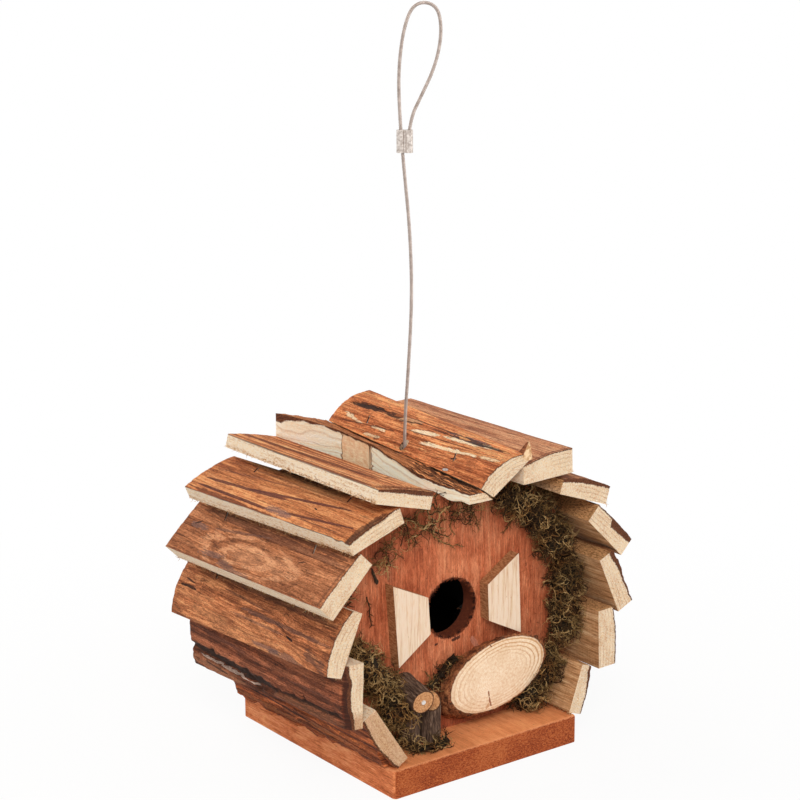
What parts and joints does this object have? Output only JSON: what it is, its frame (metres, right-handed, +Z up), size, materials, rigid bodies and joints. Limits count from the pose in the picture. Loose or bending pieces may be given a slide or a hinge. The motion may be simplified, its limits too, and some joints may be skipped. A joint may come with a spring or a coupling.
{
  "type": "hanging birdhouse",
  "caption": "Small hanging birdhouse: waney-edged slats lapped round two panels on a base board, with a round entrance, shutters, blank plaque, twig perch, moss and a looped wire.",
  "frame": {"origin": "middle of the underside of the base board", "axes": "+Z up, +Y from the entrance side to the back, +X to the right for someone facing the entrance"},
  "size_m": [0.204, 0.142, 0.385],
  "materials": {
    "stained_softwood": "terracotta stain, matte",
    "bark_slab": "rough bark outside, sawn inside",
    "pale_softwood": "sawn, unfinished",
    "plain_softwood": "sawn, unfinished",
    "branch_slice": "sanded face with a bark rim",
    "twig": "bark with sawn ends",
    "dried_moss": "dry curled strands",
    "zinc_steel": "dull zinc",
    "wire_rope": "twisted strands, weathered",
    "ferrule_metal": "crimped, dull"
  },
  "bodies": {
    "house": {"base_board": "stained_softwood", "base_brads": "zinc_steel", "front_panel": "stained_softwood", "back_panel": "stained_softwood", "slat_left_1": "bark_slab", "slat_left_2": "bark_slab", "slat_left_3": "bark_slab", "slat_left_4": "bark_slab", "slat_left_5": "bark_slab", "slat_left_6": "bark_slab", "slat_right_1": "bark_slab", "slat_right_2": "bark_slab", "slat_right_3": "bark_slab", "slat_right_4": "bark_slab", "slat_right_5": "bark_slab", "slat_top_right": "bark_slab", "slat_ridge": "bark_slab", "slat_valley": "bark_slab", "staples_front": "zinc_steel", "staples_back": "zinc_steel", "shutter_left": "pale_softwood", "shutter_right": "pale_softwood", "plaque": "branch_slice", "perch_twig": "twig", "perch_nail": "zinc_steel", "post_twig_low": "twig", "post_twig_tall": "twig", "moss_top_left": "dried_moss", "moss_shoulder": "dried_moss", "moss_right": "dried_moss", "moss_corner": "dried_moss", "moss_side": "dried_moss", "moss_left": "dried_moss", "moss_plaque": "dried_moss", "moss_foot": "dried_moss", "ridge_batten": "plain_softwood", "stop_washer": "zinc_steel", "hatch_screw": "zinc_steel"},
    "hanger": {"wire_rope": "wire_rope", "loop_ferrule": "ferrule_metal", "stop_ferrule": "ferrule_metal"},
    "hatch": {"hatch_cover": "stained_softwood"}
  },
  "joints": [
    {"name": "hanger_swivel", "type": "hinge", "parent": "house", "child": "hanger", "pos_m": [0.002, 0.0045, 0.14], "axis": [0, 0, 1], "continuous": true},
    {"name": "hatch_swing", "type": "hinge", "parent": "house", "child": "hatch", "pos_m": [0, 0.0523, 0.097], "axis": [0, 1, 0], "range_deg": [-100, 100]}
  ]
}
